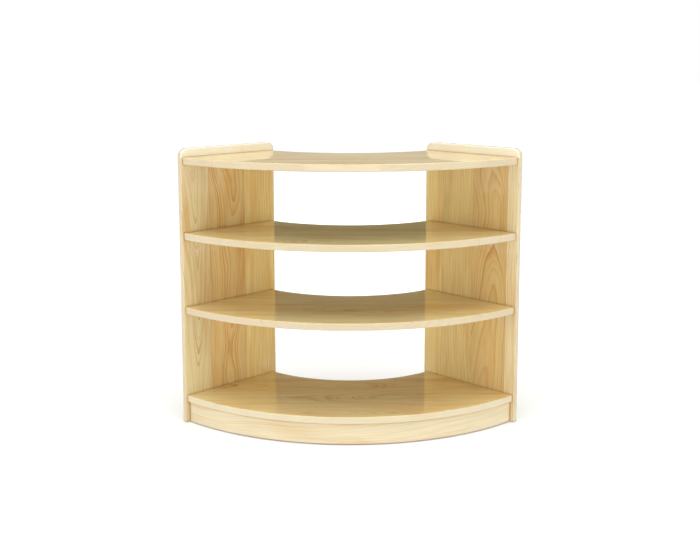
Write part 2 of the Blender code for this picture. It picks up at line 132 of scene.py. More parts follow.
def node(tree, kind, inputs=(), stops=(), interpolation="LINEAR", **settings):
    """Adds a node. Inputs are a list, or a dict by name or number: a socket or another node is
    linked, and anything else is set. Stops are the (position, colour) pairs of a ramp."""
    made = tree.nodes.new(kind)
    for name, value in settings.items():
        setattr(made, name, value)
    for index, (position, colour) in enumerate(stops):
        elements = made.color_ramp.elements
        made.color_ramp.interpolation = interpolation
        if index == 0:
            elements.remove(elements[1])
            elements[0].position = position
            elements[0].color = colour
        else:
            elements.new(position).color = colour
    for key, value in inputs.items() if isinstance(inputs, dict) else enumerate(inputs):
        if isinstance(value, bpy.types.Node):
            value = next(socket for socket in value.outputs if socket.enabled)
        if isinstance(value, bpy.types.NodeSocket):
            tree.links.new(value, made.inputs[key])
        else:
            made.inputs[key].default_value = value
    return made


def new_group(name, kind, inputs, outputs):
    """A node group with named inputs and outputs, each (name, type), and its input sockets."""
    tree = bpy.data.node_groups.new(name, kind)
    for direction, sockets in (("INPUT", inputs), ("OUTPUT", outputs)):
        for label, socket in sockets:
            tree.interface.new_socket(label, in_out=direction, socket_type=socket)
    return tree, tree.nodes.new("NodeGroupInput").outputs


def new_object(name, data):
    made = bpy.data.objects.new(name, data)
    bpy.context.scene.collection.objects.link(made)
    return made


def new_material(name):
    made = bpy.data.materials.new(name)
    made.use_nodes = True
    made.node_tree.nodes.clear()
    return made, made.node_tree


# Pine


def pine_figure():
    """The figure of a pine stave. Its growth rings are shells about the log's pith. Place is in
    metres, with X across the stave, Y along it and Z through it. Log is where the pith lies
    across, how fast the rings run out along the grain, and how deep the pith lies. A stave sawn
    over the pith shows cathedrals, and one whose pith lies far to the side straight lines."""
    tree, given = new_group(
        "Pine figure",
        "ShaderNodeTree",
        [
            ("Place", "NodeSocketVector"),
            ("Log", "NodeSocketVector"),
            ("Seed", "NodeSocketFloat"),
            ("Ring Width", "NodeSocketFloat"),
            ("Early Wood", "NodeSocketColor"),
            ("Late Tint", "NodeSocketColor"),
            ("Blush Tint", "NodeSocketColor"),
            ("Contrast", "NodeSocketFloat"),
        ],
        [("Color", "NodeSocketColor"), ("Late", "NodeSocketFloat")],
    )
    # how often in a metre each pattern repeats, across, along and through the stave
    bend_rate = (7.0, 3.0, 7.0)
    ripple_rate = (55.0, 11.0, 55.0)
    drift_rate = (20.0, 4.5, 20.0)
    fibre_rate = (1 / (2.5 * MM), 1 / (120 * MM), 1 / (2.5 * MM))
    ripple_depth = 3.2 * MM

    # each seed has its own place in the patterns and its own run of years
    seed_step = (1.7, 3.1, 0.9)
    seed_years = 31.0
    own = [given["Seed"], seed_step, given["Place"]]
    own = node(tree, VECTOR_MATH, own, operation="MULTIPLY_ADD")

    # the log's own bends
    bend = node(tree, VECTOR_MATH, [own, bend_rate], operation="MULTIPLY")
    bend = node(tree, NOISE, {"Vector": bend, "Scale": 1.0, "Detail": 1.2}).outputs["Color"]
    sway_scale = (60 * MM, 0, 56 * MM)
    sway_middle = (-30 * MM, 0, -28 * MM)
    sway = node(tree, VECTOR_MATH, [bend, sway_scale, sway_middle], operation="MULTIPLY_ADD")
    # ripples in the rings, a few centimetres long
    ripple = node(tree, VECTOR_MATH, [own, ripple_rate], operation="MULTIPLY")
    ripple = node(tree, NOISE, {"Vector": ripple, "Scale": 1.0, "Detail": 2.0})

    log = node(tree, SPLIT_XYZ, [given["Log"]]).outputs
    along = node(tree, SPLIT_XYZ, [given["Place"]]).outputs["Y"]
    side = node(tree, MATH, [log["X"], -1.0], operation="MULTIPLY")
    pith = node(tree, JOIN_XYZ, {"X": side, "Z": log["Z"]})
    reach = node(tree, VECTOR_MATH, [given["Place"], pith], operation="ADD")
    reach = node(tree, VECTOR_MATH, [reach, sway], operation="ADD")
    reach = node(tree, VECTOR_MATH, [reach, (1, 0, 1)], operation="MULTIPLY")
    radius = node(tree, VECTOR_MATH, [reach], operation="LENGTH")
    radius = node(tree, MATH, [ripple, ripple_depth, radius], operation="MULTIPLY_ADD")
    radius = node(tree, MATH, [along, log["Y"], radius], operation="MULTIPLY_ADD")

    rings = node(tree, MATH, [radius, given["Ring Width"]], operation="DIVIDE")
    within = node(tree, MATH, [rings], operation="FRACT")
    season = node(
        tree,
        RAMP,
        [within],
        stops=[
            (0.0, grey(0.35)),
            (0.12, grey(0.0)),
            (0.5, grey(0.1)),
            (0.8, grey(0.55)),
            (0.92, grey(1.0)),
            (1.0, grey(0.35)),
        ],
    )
    ring = node(tree, MATH, [rings], operation="FLOOR")
    year = node(tree, MATH, [given["Seed"], seed_years, ring], operation="MULTIPLY_ADD")
    year = node(tree, "ShaderNodeTexWhiteNoise", {"W": year}, noise_dimensions="1D").outputs
    dark = {"Value": year["Value"], "From Min": 0.3, "To Min": 0.1}
    dark = node(tree, MAP_RANGE, dark, interpolation_type="SMOOTHSTEP")
    late = node(tree, MATH, [season, dark], operation="MULTIPLY")
    late = node(tree, MATH, [late, given["Contrast"]], operation="MULTIPLY")
    colour = {FACTOR: late, FIRST: given["Early Wood"], SECOND: given["Late Tint"]}
    colour = node(tree, MIX, colour, data_type="RGBA", blend_type="MULTIPLY")

    # some years are resinous right through, which shows where the saw ran along the ring
    resin = node(tree, "ShaderNodeSeparateColor", [year["Color"]]).outputs["Green"]
    resin = node(tree, MAP_RANGE, {"Value": resin, "From Min": 0.55, "To Max": 1.0})
    filled = node(tree, MAP_RANGE, {"Value": within, "From Min": 0.05, "From Max": 0.85})
    resin = node(tree, MATH, [resin, filled], operation="MULTIPLY")
    resin = node(tree, MATH, [resin, given["Contrast"]], operation="MULTIPLY")
    colour = {FACTOR: resin, FIRST: colour, SECOND: given["Blush Tint"]}
    colour = node(tree, MIX, colour, data_type="RGBA", blend_type="MULTIPLY")

    # orange and grey drifts along the stave, some centimetres wide
    drift = node(tree, VECTOR_MATH, [own, drift_rate], operation="MULTIPLY")
    drift = node(tree, NOISE, {"Vector": drift, "Scale": 1.0, "Detail": 2.5})
    drift = node(tree, "ShaderNodeSeparateColor", [drift.outputs["Color"]]).outputs
    for channel, tint, most in (("Red", "#f0d0a6", 0.6), ("Green", "#e2e2da", 0.3)):
        share = {"Value": drift[channel], "From Min": 0.45, "From Max": 0.75, "To Max": most}
        share = node(tree, MAP_RANGE, share, interpolation_type="SMOOTHSTEP")
        share = node(tree, MATH, [share, given["Contrast"]], operation="MULTIPLY")
        colour = {FACTOR: share, FIRST: colour, SECOND: linear(tint)}
        colour = node(tree, MIX, colour, data_type="RGBA", blend_type="MULTIPLY")

    # fibres, drawn 2.5 mm wide and 120 mm long, because the real 0.05 mm would never show
    fibre = node(tree, VECTOR_MATH, [own, fibre_rate], operation="MULTIPLY")
    fibre = node(tree, NOISE, {"Vector": fibre, "Scale": 1.0, "Detail": 2.0, "Roughness": 0.6})
    fibre = {"Value": fibre, "From Min": 0.3, "From Max": 0.65, "To Min": 0.9, "To Max": 1.03}
    fibre = node(tree, MAP_RANGE, fibre)
    colour = node(tree, VECTOR_MATH, [colour, fibre], operation="MULTIPLY")
    node(tree, "NodeGroupOutput", {"Color": colour, "Late": late})
    return tree


FIGURE = pine_figure()


def flat_grain(across, along, origin):
    """Object coordinates turned so that X runs across a flat board's grain, Y along it and Z
    through it, from the given point."""
    turn = Matrix((across, along, Vector(across).cross(Vector(along))))

    def place(tree):
        here = node(tree, COORDINATES).outputs["Object"]
        moved = {"Vector": here, "Location": -(turn @ Vector(origin)), "Rotation": turn.to_euler()}
        return node(tree, "ShaderNodeMapping", moved)

    return place


def bent_grain(middle_radius, middle_height):
    """The same for a rail whose grain follows the arc, with X up the rail."""

    def place(tree):
        here = node(tree, COORDINATES).outputs["Object"]
        spoke = node(tree, VECTOR_MATH, [here, RING_CENTRE], operation="SUBTRACT")
        xyz = node(tree, SPLIT_XYZ, [spoke]).outputs
        ahead = node(tree, MATH, [xyz["Y"], -1.0], operation="MULTIPLY")
        angle = node(tree, MATH, [xyz["X"], ahead], operation="ARCTAN2")
        arc = node(tree, MATH, [angle, middle_radius], operation="MULTIPLY")
        flat = node(tree, VECTOR_MATH, [spoke, (1, 1, 0)], operation="MULTIPLY")
        radius = node(tree, VECTOR_MATH, [flat], operation="LENGTH")
        through = node(tree, MATH, [radius, middle_radius], operation="SUBTRACT")
        height = node(tree, MATH, [xyz["Z"], middle_height], operation="SUBTRACT")
        return node(tree, JOIN_XYZ, [height, arc, through])

    return place


# A ramp holds colours, so a stave's log goes into one as shares of these lengths, in metres
LOG_SCALE = Vector((1.2, 0.4, 0.3))
LOG_START = Vector((-0.3, -0.2, -0.15))
SANDED_AND_LIT_EDGE = "#dfd1b9"
LIP_PAINTED_LIGHT = "#fdf8e8"


def lacquered_pine(
    board,
    place,
    face,
    seed,
    first_edge_mm,
    staves,
    ring_mm=3.2,
    contrast=1.0,
    late_tint="#e3c2a0",
    resin_tint="#f5dfc6",
    lip_mm=None,
    edge_colour=SANDED_AND_LIT_EDGE,
    corner_shade_tint="#e7d3b4",
):
    """Edge-glued pine, planed, sanded smooth and sprayed with clear gloss lacquer: pale straw
    with honey-brown latewood, every stave its own shade, and a mirror at a low angle.

    Each stave is its far edge, its pith's place across, how many mm the rings run out in a
    metre, the pith's depth, and its colour."""
    made, tree = new_material("lacquered_pine_" + board)
    here = place(tree)
    across = node(tree, SPLIT_XYZ, [here]).outputs["X"]
    width_mm = staves[-1][0] - first_edge_mm
    spot = {"Value": across, "From Min": first_edge_mm * MM, "From Max": staves[-1][0] * MM}
    spot = node(tree, MAP_RANGE, spot)
    joint_mm, joint_shade = 1.1, grey(0.74)  # how far it fades to each side, and its middle
    fade = joint_mm / width_mm
    logs = []
    shades = []
    joints = [(0.0, grey(1.0))]
    start = 0.0
    for index, (edge_mm, pith_mm, runout_mm, depth_mm, shade) in enumerate(staves):
        log = Vector((pith_mm, runout_mm, depth_mm)) * MM - LOG_START
        shares = [log[axis] / LOG_SCALE[axis] for axis in range(3)]
        logs.append((start, (*shares, index / len(staves))))
        shades.append((start, linear(shade)))
        start = (edge_mm - first_edge_mm) / width_mm
        if index < len(staves) - 1:
            joints += [(start - fade, grey(1.0)), (start, joint_shade), (start + fade, grey(1.0))]
    log = node(tree, RAMP, [spot], stops=logs, interpolation="CONSTANT")
    seeds_apart = 3.0
    own_seed = [log.outputs["Alpha"], seeds_apart * len(staves), seed]
    own_seed = node(tree, MATH, own_seed, operation="MULTIPLY_ADD")
    log = node(tree, VECTOR_MATH, [log, LOG_SCALE, LOG_START], operation="MULTIPLY_ADD")
    figure = node(
        tree,
        "ShaderNodeGroup",
        {
            "Place": here,
            "Log": log,
            "Seed": own_seed,
            "Ring Width": ring_mm * MM,
            "Early Wood": node(tree, RAMP, [spot], stops=shades, interpolation="CONSTANT"),
            "Late Tint": linear(late_tint),
            "Blush Tint": linear(resin_tint),
            "Contrast": contrast,
        },
        node_tree=FIGURE,
    )
    joint = node(tree, RAMP, [spot], stops=joints)
    colour = node(tree, VECTOR_MATH, [figure, joint], operation="MULTIPLY")
    if face:
        # the rounded and sanded edges cut the rings square and come out plainer, and they are also
        # painted paler, partly painted light standing in for the bright light that the edges catch
        facing = node(tree, COORDINATES).outputs["Normal"]
        facing = node(tree, VECTOR_MATH, [facing, face], operation="DOT_PRODUCT")
        edge = node(tree, MATH, [facing], operation="ABSOLUTE")
        edge = {"Value": edge, "From Min": 0.8, "From Max": 0.3, "To Max": 0.7}
        edge = node(tree, MAP_RANGE, edge)
        colour = {FACTOR: edge, FIRST: colour, SECOND: linear(edge_colour)}
        colour = node(tree, MIX, colour, data_type="RGBA")
    if lip_mm:
        # painted light: the lip's inner face above the top shelf, which the light from above
        # reaches with no shelf in the way, is painted paler
        along = node(tree, SPLIT_XYZ, [here]).outputs["Y"]
        lip_light = {"Value": along, "From Min": (lip_mm - 1) * MM, "From Max": lip_mm * MM}
        lip_light = node(tree, MAP_RANGE, lip_light)
        inner = node(tree, MAP_RANGE, {"Value": facing, "From Max": 0.5, "To Max": 0.9})
        lip_light = node(tree, MATH, [lip_light, inner], operation="MULTIPLY")
        colour = {FACTOR: lip_light, FIRST: colour, SECOND: linear(LIP_PAINTED_LIGHT)}
        colour = node(tree, MIX, colour, data_type="RGBA")
    # painted shade: a brown line where one board stands in another's corner, from an ambient
    # occlusion mask, standing in for the shade in seams and under overhangs
    corner_shade = node(tree, "ShaderNodeAmbientOcclusion", {"Distance": 6 * MM}, samples=6)
    corner_shade = {"Value": corner_shade.outputs["AO"], "From Min": 0.9, "From Max": 0.45}
    corner_shade = node(tree, MAP_RANGE, corner_shade)
    colour = {FACTOR: corner_shade, FIRST: colour, SECOND: linear(corner_shade_tint)}
    colour = node(tree, MIX, colour, data_type="RGBA", blend_type="MULTIPLY")
    # latewood is harder and stands a few hundredths of a millimetre proud under the lacquer
    relief = {"Height": figure.outputs["Late"], "Strength": 0.15, "Distance": 0.05 * MM}
    shader = node(
        tree,
        PRINCIPLED,
        {
            "Base Color": colour,
            "Roughness": 0.5,
            "IOR": 1.5,
            "Specular IOR Level": 0.05,
            "Coat Weight": 1.0,
            "Coat Roughness": 0.03,
            "Coat IOR": 1.5,
            "Normal": node(tree, BUMP, relief),
        },
    )
    node(tree, MATERIAL_OUTPUT, {"Surface": shader})
    return made


# Boards


def cut(name, mesh, cutters):
    """A mesh less the cutters, one after the other."""
    carrier = new_object(name, mesh)
    for cutter in cutters:
        bore = carrier.modifiers.new(cutter.name, "BOOLEAN")
        bore.operation = "DIFFERENCE"
        bore.solver = "EXACT"
        bore.object = cutter
    # a bored face is one many-sided polygon, which would shade badly
    facets = carrier.modifiers.new("Facets", "TRIANGULATE")
    facets.min_vertices = 5
    return plain_mesh(carrier)


def finished(name, mesh, material, nodes):
    """A piece of the unit, at the origin, that stands for its nodes and rides with them. Its
    normals lean on its large faces, so that a broad flat face mirrors as a flat one."""
    mesh.shade_smooth()
    mesh.set_sharp_from_angle(angle=math.radians(30.0))
    carrier = new_object(name, mesh)
    lean = carrier.modifiers.new("Lean", "WEIGHTED_NORMAL")
    lean.weight = 100
    lean.keep_sharp = True
    bpy.context.view_layer.update()
    graph = bpy.context.evaluated_depsgraph_get()
    mesh = bpy.data.meshes.new_from_object(carrier.evaluated_get(graph))
    bpy.data.objects.remove(carrier)
    mesh.materials.clear()
    mesh.materials.append(material)
    made = new_object(name, mesh)
    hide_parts(*nodes)
    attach(made, "root")
    return made


def plain_mesh(obj):
    """What an object's modifiers make, merged and with its faces outward. The object goes."""
    bpy.context.view_layer.update()
    graph = bpy.context.evaluated_depsgraph_get()
    mesh = bpy.data.meshes.new_from_object(obj.evaluated_get(graph))
    bpy.data.objects.remove(obj)
    bm = bmesh.new()
    bm.from_mesh(mesh)
    bmesh.ops.remove_doubles(bm, verts=bm.verts, dist=0.01 * MM)
    bmesh.ops.recalc_face_normals(bm, faces=bm.faces)
    bm.to_mesh(mesh)
    bm.free()
    return mesh


def curved_board_tree():
    """A board along X, with a rounded section, wrapped on to the ring. Each radius ends at its
    own angle, so the ends come out flat and parallel to the side panels."""
    tree, given = new_group(
        "Curved board",
        "GeometryNodeTree",
        [
            ("Inner Radius", "NodeSocketFloat"),
            ("Outer Radius", "NodeSocketFloat"),
            ("Underside", "NodeSocketFloat"),
            ("Thickness", "NodeSocketFloat"),
            ("Edge Radius", "NodeSocketFloat"),
            ("Edge Steps", "NodeSocketInt"),
            ("End Ease", "NodeSocketFloat"),
            ("End Offset", "NodeSocketFloat"),
            ("Half Angle", "NodeSocketFloat"),
            ("Ring Centre", "NodeSocketVector"),
            ("Arc Points", "NodeSocketInt"),
            ("Finish", "NodeSocketMaterial"),
        ],
        [("Geometry", "NodeSocketGeometry")],
    )
    radii = (given["Outer Radius"], given["Inner Radius"])
    depth = node(tree, MATH, radii, operation="SUBTRACT")
    section = {"Width": depth, "Height": given["Thickness"]}
    section = node(tree, "GeometryNodeCurvePrimitiveQuadrilateral", section)
    rounded = {"Curve": section, "Radius": given["Edge Radius"], "Count": given["Edge Steps"]}
    rounded = node(tree, "GeometryNodeFilletCurve", rounded, mode="POLY")
    spine = {"Start": (-1, 0, 0), "End": (1, 0, 0)}
    spine = node(tree, "GeometryNodeCurvePrimitiveLine", spine)
    spine = {"Curve": spine, "Count": given["Arc Points"]}
    spine = node(tree, "GeometryNodeResampleCurve", spine)
    bar = {"Curve": spine, "Profile Curve": rounded, "Fill Caps": True}
    bar = node(tree, "GeometryNodeCurveToMesh", bar)

    # the last ring of points is drawn in, and the one before it is brought up close to it
    at = node(tree, "GeometryNodeInputPosition")
    at = node(tree, SPLIT_XYZ, [at]).outputs
    ends = node(tree, MATH, [at["X"]], operation="ABSOLUTE")
    ends = node(tree, MATH, [ends, 0.999], operation="GREATER_THAN")
    ease = node(tree, MATH, [given["End Ease"], ends], operation="MULTIPLY")
    ease = node(tree, MATH, [ease, 2.0], operation="MULTIPLY")
    squeeze = {}
    for name, size in (("Y", depth), ("Z", given["Thickness"])):
        share = node(tree, MATH, [ease, size], operation="DIVIDE")
        share = node(tree, MATH, [1.0, share], operation="SUBTRACT")
        squeeze[name] = node(tree, MATH, [at[name], share], operation="MULTIPLY")
    gap_share = node(tree, MATH, [given["End Ease"], given["Outer Radius"]], operation="DIVIDE")
    gap_share = node(tree, MATH, [gap_share, given["Half Angle"]], operation="DIVIDE")
    steps = node(tree, MATH, [given["Arc Points"], 1.0], operation="SUBTRACT")
    steps = node(tree, MATH, [2.0, steps], operation="DIVIDE")
    last_step = node(tree, MATH, [1.0, steps], operation="SUBTRACT")
    spread = node(tree, MATH, [1.0, gap_share], operation="SUBTRACT")
    spread = node(tree, MATH, [spread, last_step], operation="DIVIDE")
    turn = node(tree, MATH, [at["X"], spread], operation="MULTIPLY")
    turn = node(tree, MATH, [turn, 1.0], operation="MINIMUM")
    turn = node(tree, MATH, [turn, -1.0], operation="MAXIMUM")

    middle = node(tree, MATH, radii, operation="ADD")
    radius = node(tree, MATH, [middle, 0.5, squeeze["Y"]], operation="MULTIPLY_ADD")
    lost = node(tree, MATH, [given["End Offset"], radius], operation="DIVIDE")
    lost = node(tree, MATH, [lost], operation="ARCSINE")
    last_angle = node(tree, MATH, [given["Half Angle"], lost], operation="SUBTRACT")
    angle = node(tree, MATH, [turn, last_angle], operation="MULTIPLY")
    sine = node(tree, MATH, [angle], operation="SINE")
    cosine = node(tree, MATH, [angle], operation="COSINE")
    x = node(tree, MATH, [radius, sine], operation="MULTIPLY")
    ahead = node(tree, MATH, [radius, cosine], operation="MULTIPLY")
    y = node(tree, MATH, [ahead, -1.0], operation="MULTIPLY")
    mid_height = [given["Thickness"], 0.5, given["Underside"]]
    mid_height = node(tree, MATH, mid_height, operation="MULTIPLY_ADD")
    z = node(tree, MATH, [squeeze["Z"], mid_height], operation="ADD")
    wrapped = node(tree, JOIN_XYZ, [x, y, z])
    wrapped = node(tree, VECTOR_MATH, [wrapped, given["Ring Centre"]], operation="ADD")
    bent = node(tree, "GeometryNodeSetPosition", {"Geometry": bar, "Position": wrapped})
    real = node(tree, "GeometryNodeRealizeInstances", [bent])
    done = {"Geometry": real, "Material": given["Finish"]}
    done = node(tree, "GeometryNodeSetMaterial", done)
    node(tree, "NodeGroupOutput", [done])
    return tree


def from_tree(name, tree, values, start=None):
    """The plain mesh that a Geometry Nodes tree makes from its named inputs."""
    carrier = new_object(name, start or bpy.data.meshes.new(name))
    modifier = carrier.modifiers.new(name, "NODES")
    modifier.node_group = tree
    for item in tree.interface.items_tree:
        if item.in_out == "INPUT" and values.get(item.name) is not None:
            modifier[item.identifier] = values[item.name]
    return plain_mesh(carrier)


CURVED_BOARD = curved_board_tree()


def curved_board(cad_node, inner, outer, edge_radius, material):
    """A board that follows the ring, bored for its fittings."""
    low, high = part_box(cad_node)
    mesh = from_tree(
        cad_node,
        CURVED_BOARD,
        {
            "Inner Radius": inner,
            "Outer Radius": outer,
            "Underside": low[2],
            "Thickness": high[2] - low[2],
            "Edge Radius": edge_radius,
            "Edge Steps": 6,
            "End Ease": END_EASE,
            "End Offset": SHELF_END,
            "Half Angle": HALF_ANGLE,
            "Ring Centre": RING_CENTRE,
            "Arc Points": 97,
            "Finish": material,
        },
    )
    mesh = cut(cad_node, mesh, BORES)
    return finished(cad_node + "_board", mesh, material, [cad_node])


def panel_outline(bottom, top):
    """A side panel's outline as (along, z): square at the floor, rounded at both top corners."""
    points = [(PANEL_BACK, bottom), (PANEL_FRONT, bottom)]
    steps = 12
    for centre, first_angle in (
        (PANEL_FRONT - PANEL_CORNER_RADIUS, 0.0),
        (PANEL_BACK + PANEL_CORNER_RADIUS, math.pi / 2),
    ):
        for step in range(steps + 1):
            angle = first_angle + math.pi / 2 * step / steps
            along = centre + PANEL_CORNER_RADIUS * math.cos(angle)
            points.append((along, top + PANEL_CORNER_RADIUS * (math.sin(angle) - 1)))
    return points


def side_panel(cad_node, side, material):
    """A flat board cut to its outline, every edge rounded over, and bored for its fittings."""
    low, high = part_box(cad_node)
    curve = bpy.data.curves.new(cad_node, "CURVE")
    curve.dimensions = "2D"
    curve.fill_mode = "BOTH"
    curve.extrude = PANEL_THICKNESS / 2 - PANEL_EDGE_RADIUS
    curve.bevel_depth = PANEL_EDGE_RADIUS
    curve.bevel_resolution = 5
    curve.offset = -PANEL_EDGE_RADIUS
    outline = panel_outline(low[2], high[2])
    spline = curve.splines.new("POLY")
    spline.points.add(len(outline) - 1)
    for point, (along, z) in zip(spline.points, outline):
        point.co = (along, z, 0, 1)
    spline.use_cyclic_u = True
    mesh = plain_mesh(new_object(cad_node, curve))
    columns = (along_panel(side), UP, along_panel(side).cross(UP))
    upright = Matrix(columns).transposed().to_4x4()
    upright.translation = RING_CENTRE + inward(side) * PANEL_THICKNESS / 2
    mesh.transform(upright)
    mesh = cut(cad_node, mesh, BORES)
    return finished(cad_node + "_board", mesh, material, [cad_node])


# Fittings


def turned(name, profile_mm, sides, ridge=None):
    """A closed solid turned about X from (along, radius) pairs that begin and end on the axis.
    A ridge gives how far a spot stands out from the profile, from its place and angle."""
    bm = bmesh.new()
    rings = []
    for along, radius in profile_mm:
        turns = [2 * math.pi * step / sides for step in range(sides)] if radius else [0.0]
        ring = []
        for angle in turns:
            reach = radius + (ridge(along, angle) if ridge and radius else 0.0)
            spot = Vector((along, reach * math.cos(angle), reach * math.sin(angle)))
            ring.append(bm.verts.new(spot * MM))
        rings.append(ring)
    for one, other in zip(rings, rings[1:]):
        for step in range(sides):
            ahead = step + 1
            corners = [one[step % len(one)], one[ahead % len(one)]]
            corners += [other[ahead % len(other)], other[step % len(other)]]
            bm.faces.new(dict.fromkeys(corners))
    bmesh.ops.recalc_face_normals(bm, faces=bm.faces)
    return object_of(name, bm)


def plain_round(low_mm, high_mm, radius_mm):
    """The profile of a plain round bar or bore."""
    return [(low_mm, 0), (low_mm, radius_mm), (high_mm, radius_mm), (high_mm, 0)]


def block(name, corners_mm, low_mm, high_mm):
    """An upright prism on an outline of (x, y) corners."""
    bm = bmesh.new()
    base = bm.faces.new([bm.verts.new(Vector((x, y, low_mm)) * MM) for x, y in corners_mm])
    raised = bmesh.ops.extrude_face_region(bm, geom=[base])["geom"]
    raised = [vert for vert in raised if isinstance(vert, bmesh.types.BMVert)]
    bmesh.ops.translate(bm, verts=raised, vec=(0, 0, (high_mm - low_mm) * MM))
    bmesh.ops.recalc_face_normals(bm, faces=bm.faces)
    return object_of(name, bm)


def object_of(name, bm):
    """An unfinished object, which finished pieces are made from."""
    mesh = bpy.data.meshes.new(name)
    bm.to_mesh(mesh)
    bm.free()
    return new_object(name, mesh)


def stood_up(obj):
    """Turns what was made along X to stand along Z."""
    obj.data.transform(Matrix.Rotation(-math.pi / 2, 4, "Y"))
    return obj


def carved(obj, cutters):
    """An object less its cutters, which go."""
    name = obj.name
    mesh = cut(name + "_carved", obj.data, cutters)
    for used in [obj, *cutters]:
        bpy.data.objects.remove(used)
    return new_object(name, mesh)


def cross(name, length_mm, width_mm, low_mm, high_mm):
    """The two arms of a screwdriver's cross."""
    arms = []
    for x, y in ((length_mm / 2, width_mm / 2), (width_mm / 2, length_mm / 2)):
        corners = [(-x, -y), (x, -y), (x, y), (-x, y)]
        arms.append(block(name, corners, low_mm, high_mm))
    return arms


def cam():
    """A cam: a cup whose slotted wall traps the bolt's head. It stands on its driven face, which
    has a cross and an arrow towards the bolt, and the bolt comes in along -X."""
    profile = [(0, 0), (0, 6.8), (0.4, 7.2), (12.5, 7.2), (12.9, 6.8), (12.9, 0)]
    body = stood_up(turned("cam", profile, 48))
    head, neck, reach, steps = 4.0, 2.6, 8.0, 16
    cutters = cross("cam_cross", 8.0, 1.8, -1.0, 2.4)
    cutters.append(block("cam_arrow", [(-6.4, 0), (-4.9, -1.2), (-4.9, 1.2)], -1.0, 0.3))
    cutters.append(stood_up(turned("cam_hollow", plain_round(CAM_FLOOR_MM, 14.0, head), 32)))
    # the slot that the bolt's neck runs in, and the mouth that its head goes in by
    lead = math.asin(neck / reach)
    rim = [(0, 0), (0, neck)]
    for step in range(steps + 1):
        angle = math.pi - lead + (CAM_TURN + lead) * step / steps
        rim.append((reach * math.cos(angle), reach * math.sin(angle)))
    cutters.append(block("cam_slot", rim, BOLT_HEIGHT_MM - neck, BOLT_HEIGHT_MM + neck))
    mouth = turned("cam_mouth", plain_round(0, reach, head), 32)
    mouth.data.transform(Matrix.Rotation(math.pi + CAM_TURN, 4, "Z"))
    mouth.data.transform(Matrix.Translation((0, 0, BOLT_HEIGHT_MM * MM)))
    cutters.append(mouth)
    return carved(body, cutters)


def cam_bolt():
    """A bolt with a coarse wood thread, a collar against the panel, and a round head with a
    cross for the screwdriver."""
    pitch, root, crest, rows = 1.8, 1.9, 2.5, 7
    tip, start, run = -11, -9.5, 9.0
    flank = 0.28  # of the pitch

    def thread(along, angle):
        if not tip < along < -0.4:
            return 0.0
        turn = (along / pitch - angle / (2 * math.pi)) % 1.0
        return (crest - root) * max(0.0, 1 - abs(turn - 0.5) / flank)

    profile = [(tip, 0), (tip, 0.4), (start, root)]
    count = round(run / pitch * rows)
    profile += [(start + run * step / count, root) for step in range(1, count + 1)]
    profile += [(-0.2, 2.5), (0.3, 2.5), (0.3, 3.4), (0.5, 3.6), (1.6, 3.6), (1.8, 3.4)]
    profile += [(1.8, 2.0), (21.55, 2.0), (21.9, 3.0), (22.7, 3.4), (25.9, 3.4), (26.7, 3.0)]
    profile += [(27.05, 2.0), (27.05, 0)]
    arms = cross("bolt_cross", 3.2, 0.8, 25.8, 28.0)
    for arm in arms:
        arm.data.transform(Matrix.Rotation(math.pi / 2, 4, "Y"))
    return carved(turned("cam_bolt", profile, 24, thread), arms)


def dowel(radius):
    """A dowel with pressed flutes, which let the glue spread, and chamfered ends."""
    flutes, depth = round(5 * radius), 0.22
    low, high, chamfer = -DOWEL_DEPTH_MM, DOWEL_LENGTH_MM - DOWEL_DEPTH_MM, 1

    def flute(along, angle):
        return -depth * (0.5 + 0.5 * math.cos(flutes * angle))

    profile = [(low, 0), (low, radius - chamfer), (low + chamfer, radius)]
    profile += [(high - chamfer, radius), (high, radius - chamfer), (high, 0)]
    return turned("dowel", profile, 6 * flutes, flute)


def glide():
    """A nail-on glide: a low domed pad under the panel, down to the floor, and its nail."""
    sole = -GLIDE_HEIGHT_MM
    profile = [(sole, 0), (sole, 4.4), (-1.85, 5.1), (-1.5, 5.65), (-1.0, 5.95), (-0.6, 6.0)]
    profile += [(0, 6.0), (0, 1.0), (12.6, 1.0), (14, 0)]
    return turned("glide", profile, 48)


def setting_out_tree():
    """Puts a fitting at each mark, with its X axis along the mark's facing."""
    tree, given = new_group(
        "Set out fittings",
        "GeometryNodeTree",
        [
            ("Marks", "NodeSocketGeometry"),
            ("Fitting", "NodeSocketObject"),
            ("Finish", "NodeSocketMaterial"),
        ],
        [("Geometry", "NodeSocketGeometry")],
    )
    facing = node(tree, "GeometryNodeInputNamedAttribute", ["facing"], data_type="FLOAT_VECTOR")
    turn = node(tree, "FunctionNodeAlignRotationToVector", {"Vector": facing}, axis="X")
    fitting = node(tree, "GeometryNodeObjectInfo", {"Object": given["Fitting"]})
    fitting = fitting.outputs["Geometry"]
    laid = {"Points": given["Marks"], "Instance": fitting, "Rotation": turn}
    laid = node(tree, "GeometryNodeInstanceOnPoints", laid)
    real = node(tree, "GeometryNodeRealizeInstances", [laid])
    done = {"Geometry": real, "Material": given["Finish"]}
    done = node(tree, "GeometryNodeSetMaterial", done)
    node(tree, "NodeGroupOutput", [done])
    return tree


SETTING_OUT = setting_out_tree()


def set_out(name, fitting, marks, material=None):
    """One mesh of a fitting at every mark. A mark is a place and the way the fitting faces."""
    mesh = bpy.data.meshes.new(name)
    mesh.from_pydata([place for place, facing in marks], [], [])
    facings = mesh.attributes.new("facing", "FLOAT_VECTOR", "POINT")
    for row, (place, facing) in zip(facings.data, marks):
        row.vector = facing
    values = {"Fitting": fitting, "Finish": material}
    return from_tree(name, SETTING_OUT, values, mesh)


def on_panel(side, along, offset, z):
    """A spot by a side panel: along it, in from its outer face, and above the floor."""
    return RING_CENTRE + along_panel(side) * along + inward(side) * offset + UP * z


